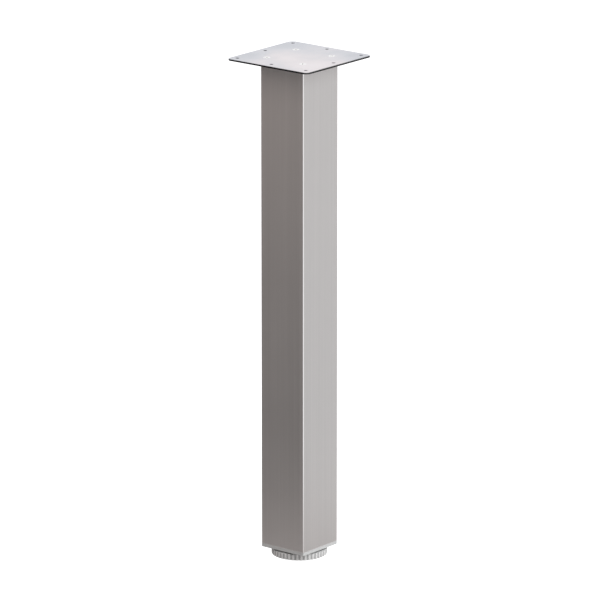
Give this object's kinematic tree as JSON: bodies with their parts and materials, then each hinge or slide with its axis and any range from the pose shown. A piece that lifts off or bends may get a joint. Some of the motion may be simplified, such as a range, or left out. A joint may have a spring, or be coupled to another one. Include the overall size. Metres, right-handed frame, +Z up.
{
  "type": "square table leg",
  "caption": "Square metal table leg with a screwed-on mounting plate and a ribbed round foot that screws out to level the table.",
  "frame": {"origin": "on the floor, at the centre of the foot, on the leg's axis", "axes": "+Z up along the leg to the mounting plate, +X and +Y square to the tube's faces"},
  "size_m": [0.142, 0.142, 0.71],
  "materials": {
    "plate_steel": "bright zinc-plated sheet",
    "screw_steel": "zinc-plated",
    "satin_tube": "satin, fine lengthwise grain",
    "grey_plastic": "fine matt moulding",
    "glide_plastic": "matt"
  },
  "bodies": {
    "leg": {"mounting_plate": "plate_steel", "plate_screws": "screw_steel", "leg_tube": "satin_tube", "foot_insert": "grey_plastic", "insert_nut": "screw_steel"},
    "glide": {"floor_glide": "glide_plastic"},
    "foot": {"adjuster_foot": "grey_plastic", "foot_spindle": "screw_steel"}
  },
  "joints": [
    {"name": "foot_height", "type": "slide", "parent": "leg", "child": "glide", "axis": [0, 0, -1], "range_m": [-0.0015, 0.0185]},
    {"name": "foot_turn", "type": "hinge", "parent": "glide", "child": "foot", "pos_m": [0, 0, 0.006], "axis": [0, 0, -1], "range_deg": [-360, 4440]}
  ],
  "couplings": [
    {"joint": "foot_height", "follows": "foot_turn", "m_per_rad": 0.00023873}
  ]
}
